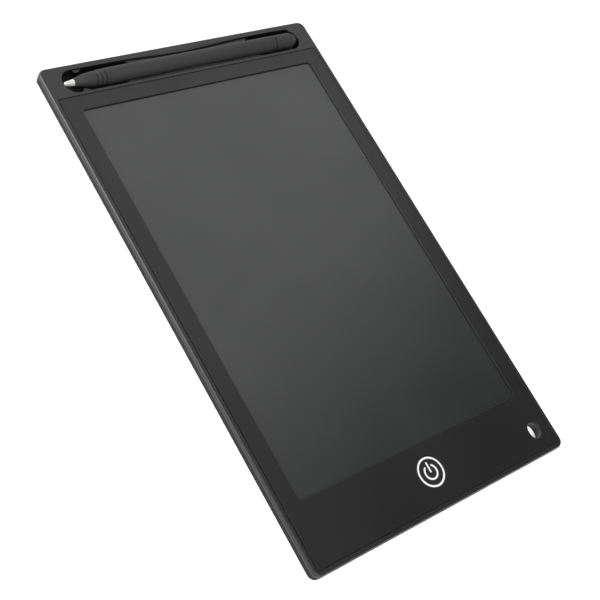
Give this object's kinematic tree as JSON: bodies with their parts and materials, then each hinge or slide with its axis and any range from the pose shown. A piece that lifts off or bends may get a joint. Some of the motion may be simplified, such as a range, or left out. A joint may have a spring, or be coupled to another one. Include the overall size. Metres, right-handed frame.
{
  "type": "lcd writing tablet",
  "caption": "Thin upright slate with a liquid crystal film that is written on by pressure, a round erase button, and a stylus kept in a slot along the top edge.",
  "frame": {"origin": "middle of the flat back, on the surface that the tablet lies on", "axes": "+X across the screen to the right, +Y up the screen to the stylus slot, +Z out of the screen"},
  "size_m": [0.138, 0.225, 0.0078],
  "materials": {
    "frame_plastic": "fine satin, black",
    "faceplate_plastic": "smooth satin, black",
    "cover_plastic": "fine matt texture, black",
    "adhesive_tape": "matt, grey",
    "writing_film": "dark grey, low sheen",
    "backing_sheet": "matt black",
    "flex_lead": "amber film over copper",
    "white_print": "white inlay",
    "button_plastic": "satin, black",
    "spring_steel": "bright strip",
    "cell_steel": "bright nickel",
    "screw_steel": "dark plated",
    "board_laminate": "green solder mask",
    "chip_body": "moulded black",
    "capacitor_ceramic": "tan ceramic",
    "nib_plastic": "light grey",
    "stylus_plastic": "satin, black"
  },
  "bodies": {
    "tablet": {"front_frame": "frame_plastic", "faceplate": "faceplate_plastic", "rear_cover": "cover_plastic", "film_tape": "adhesive_tape", "writing_film": "writing_film", "backing_sheet": "backing_sheet", "flex_tail": "flex_lead", "tact_switch_body": "spring_steel", "coin_cell": "cell_steel", "battery_contact_negative": "spring_steel", "battery_contact_positive": "spring_steel", "board_screw_1": "screw_steel", "board_screw_2": "screw_steel", "circuit_board": "board_laminate", "driver_chip": "chip_body", "boost_inductor": "chip_body", "capacitor_1": "capacitor_ceramic", "capacitor_2": "capacitor_ceramic", "resistor_1": "chip_body", "lock_switch_body": "spring_steel"},
    "button": {"erase_button": "button_plastic", "button_ring": "white_print", "button_symbol_arc": "white_print", "button_symbol_bar": "white_print"},
    "switch_plunger": {"tact_switch_plunger": "button_plastic"},
    "slider": {"lock_slider": "button_plastic"},
    "switch_actuator": {"lock_switch_actuator": "button_plastic"},
    "door": {"battery_door": "cover_plastic"},
    "door_screw": {"battery_door_screw": "screw_steel"},
    "pen": {"stylus_tip": "nib_plastic", "stylus_nose_cone": "stylus_plastic", "stylus_barrel": "stylus_plastic", "stylus_end_cap": "stylus_plastic"}
  },
  "joints": [
    {"name": "button_press", "type": "slide", "parent": "tablet", "child": "button", "axis": [0, 0, -1], "range_m": [0, 0.0004], "stiffness_N_per_m": 1500, "springref_m": -0.0003},
    {"name": "plunger_press", "type": "slide", "parent": "tablet", "child": "switch_plunger", "axis": [0, 0, -1], "range_m": [0, 0.0004]},
    {"name": "lock_slide", "type": "slide", "parent": "tablet", "child": "slider", "axis": [1, 0, 0], "range_m": [0, 0.002]},
    {"name": "actuator_slide", "type": "slide", "parent": "tablet", "child": "switch_actuator", "axis": [1, 0, 0], "range_m": [0, 0.002]},
    {"name": "battery_door_tilt", "type": "hinge", "parent": "tablet", "child": "door", "pos_m": [-0.022, -0.0994, 0.00108], "axis": [0, -1, 0], "range_deg": [0, 25]},
    {"name": "door_screw_turn", "type": "hinge", "parent": "door", "child": "door_screw", "pos_m": [-0.0494, -0.0994, 0], "axis": [0, 0, 1], "continuous": true},
    {"name": "stylus_lift", "type": "slide", "parent": "tablet", "child": "pen", "axis": [0, 0, 1], "range_m": [0, 0.02]}
  ],
  "couplings": [
    {"joint": "plunger_press", "follows": "button_press", "ratio": 1},
    {"joint": "actuator_slide", "follows": "lock_slide", "ratio": 1}
  ]
}
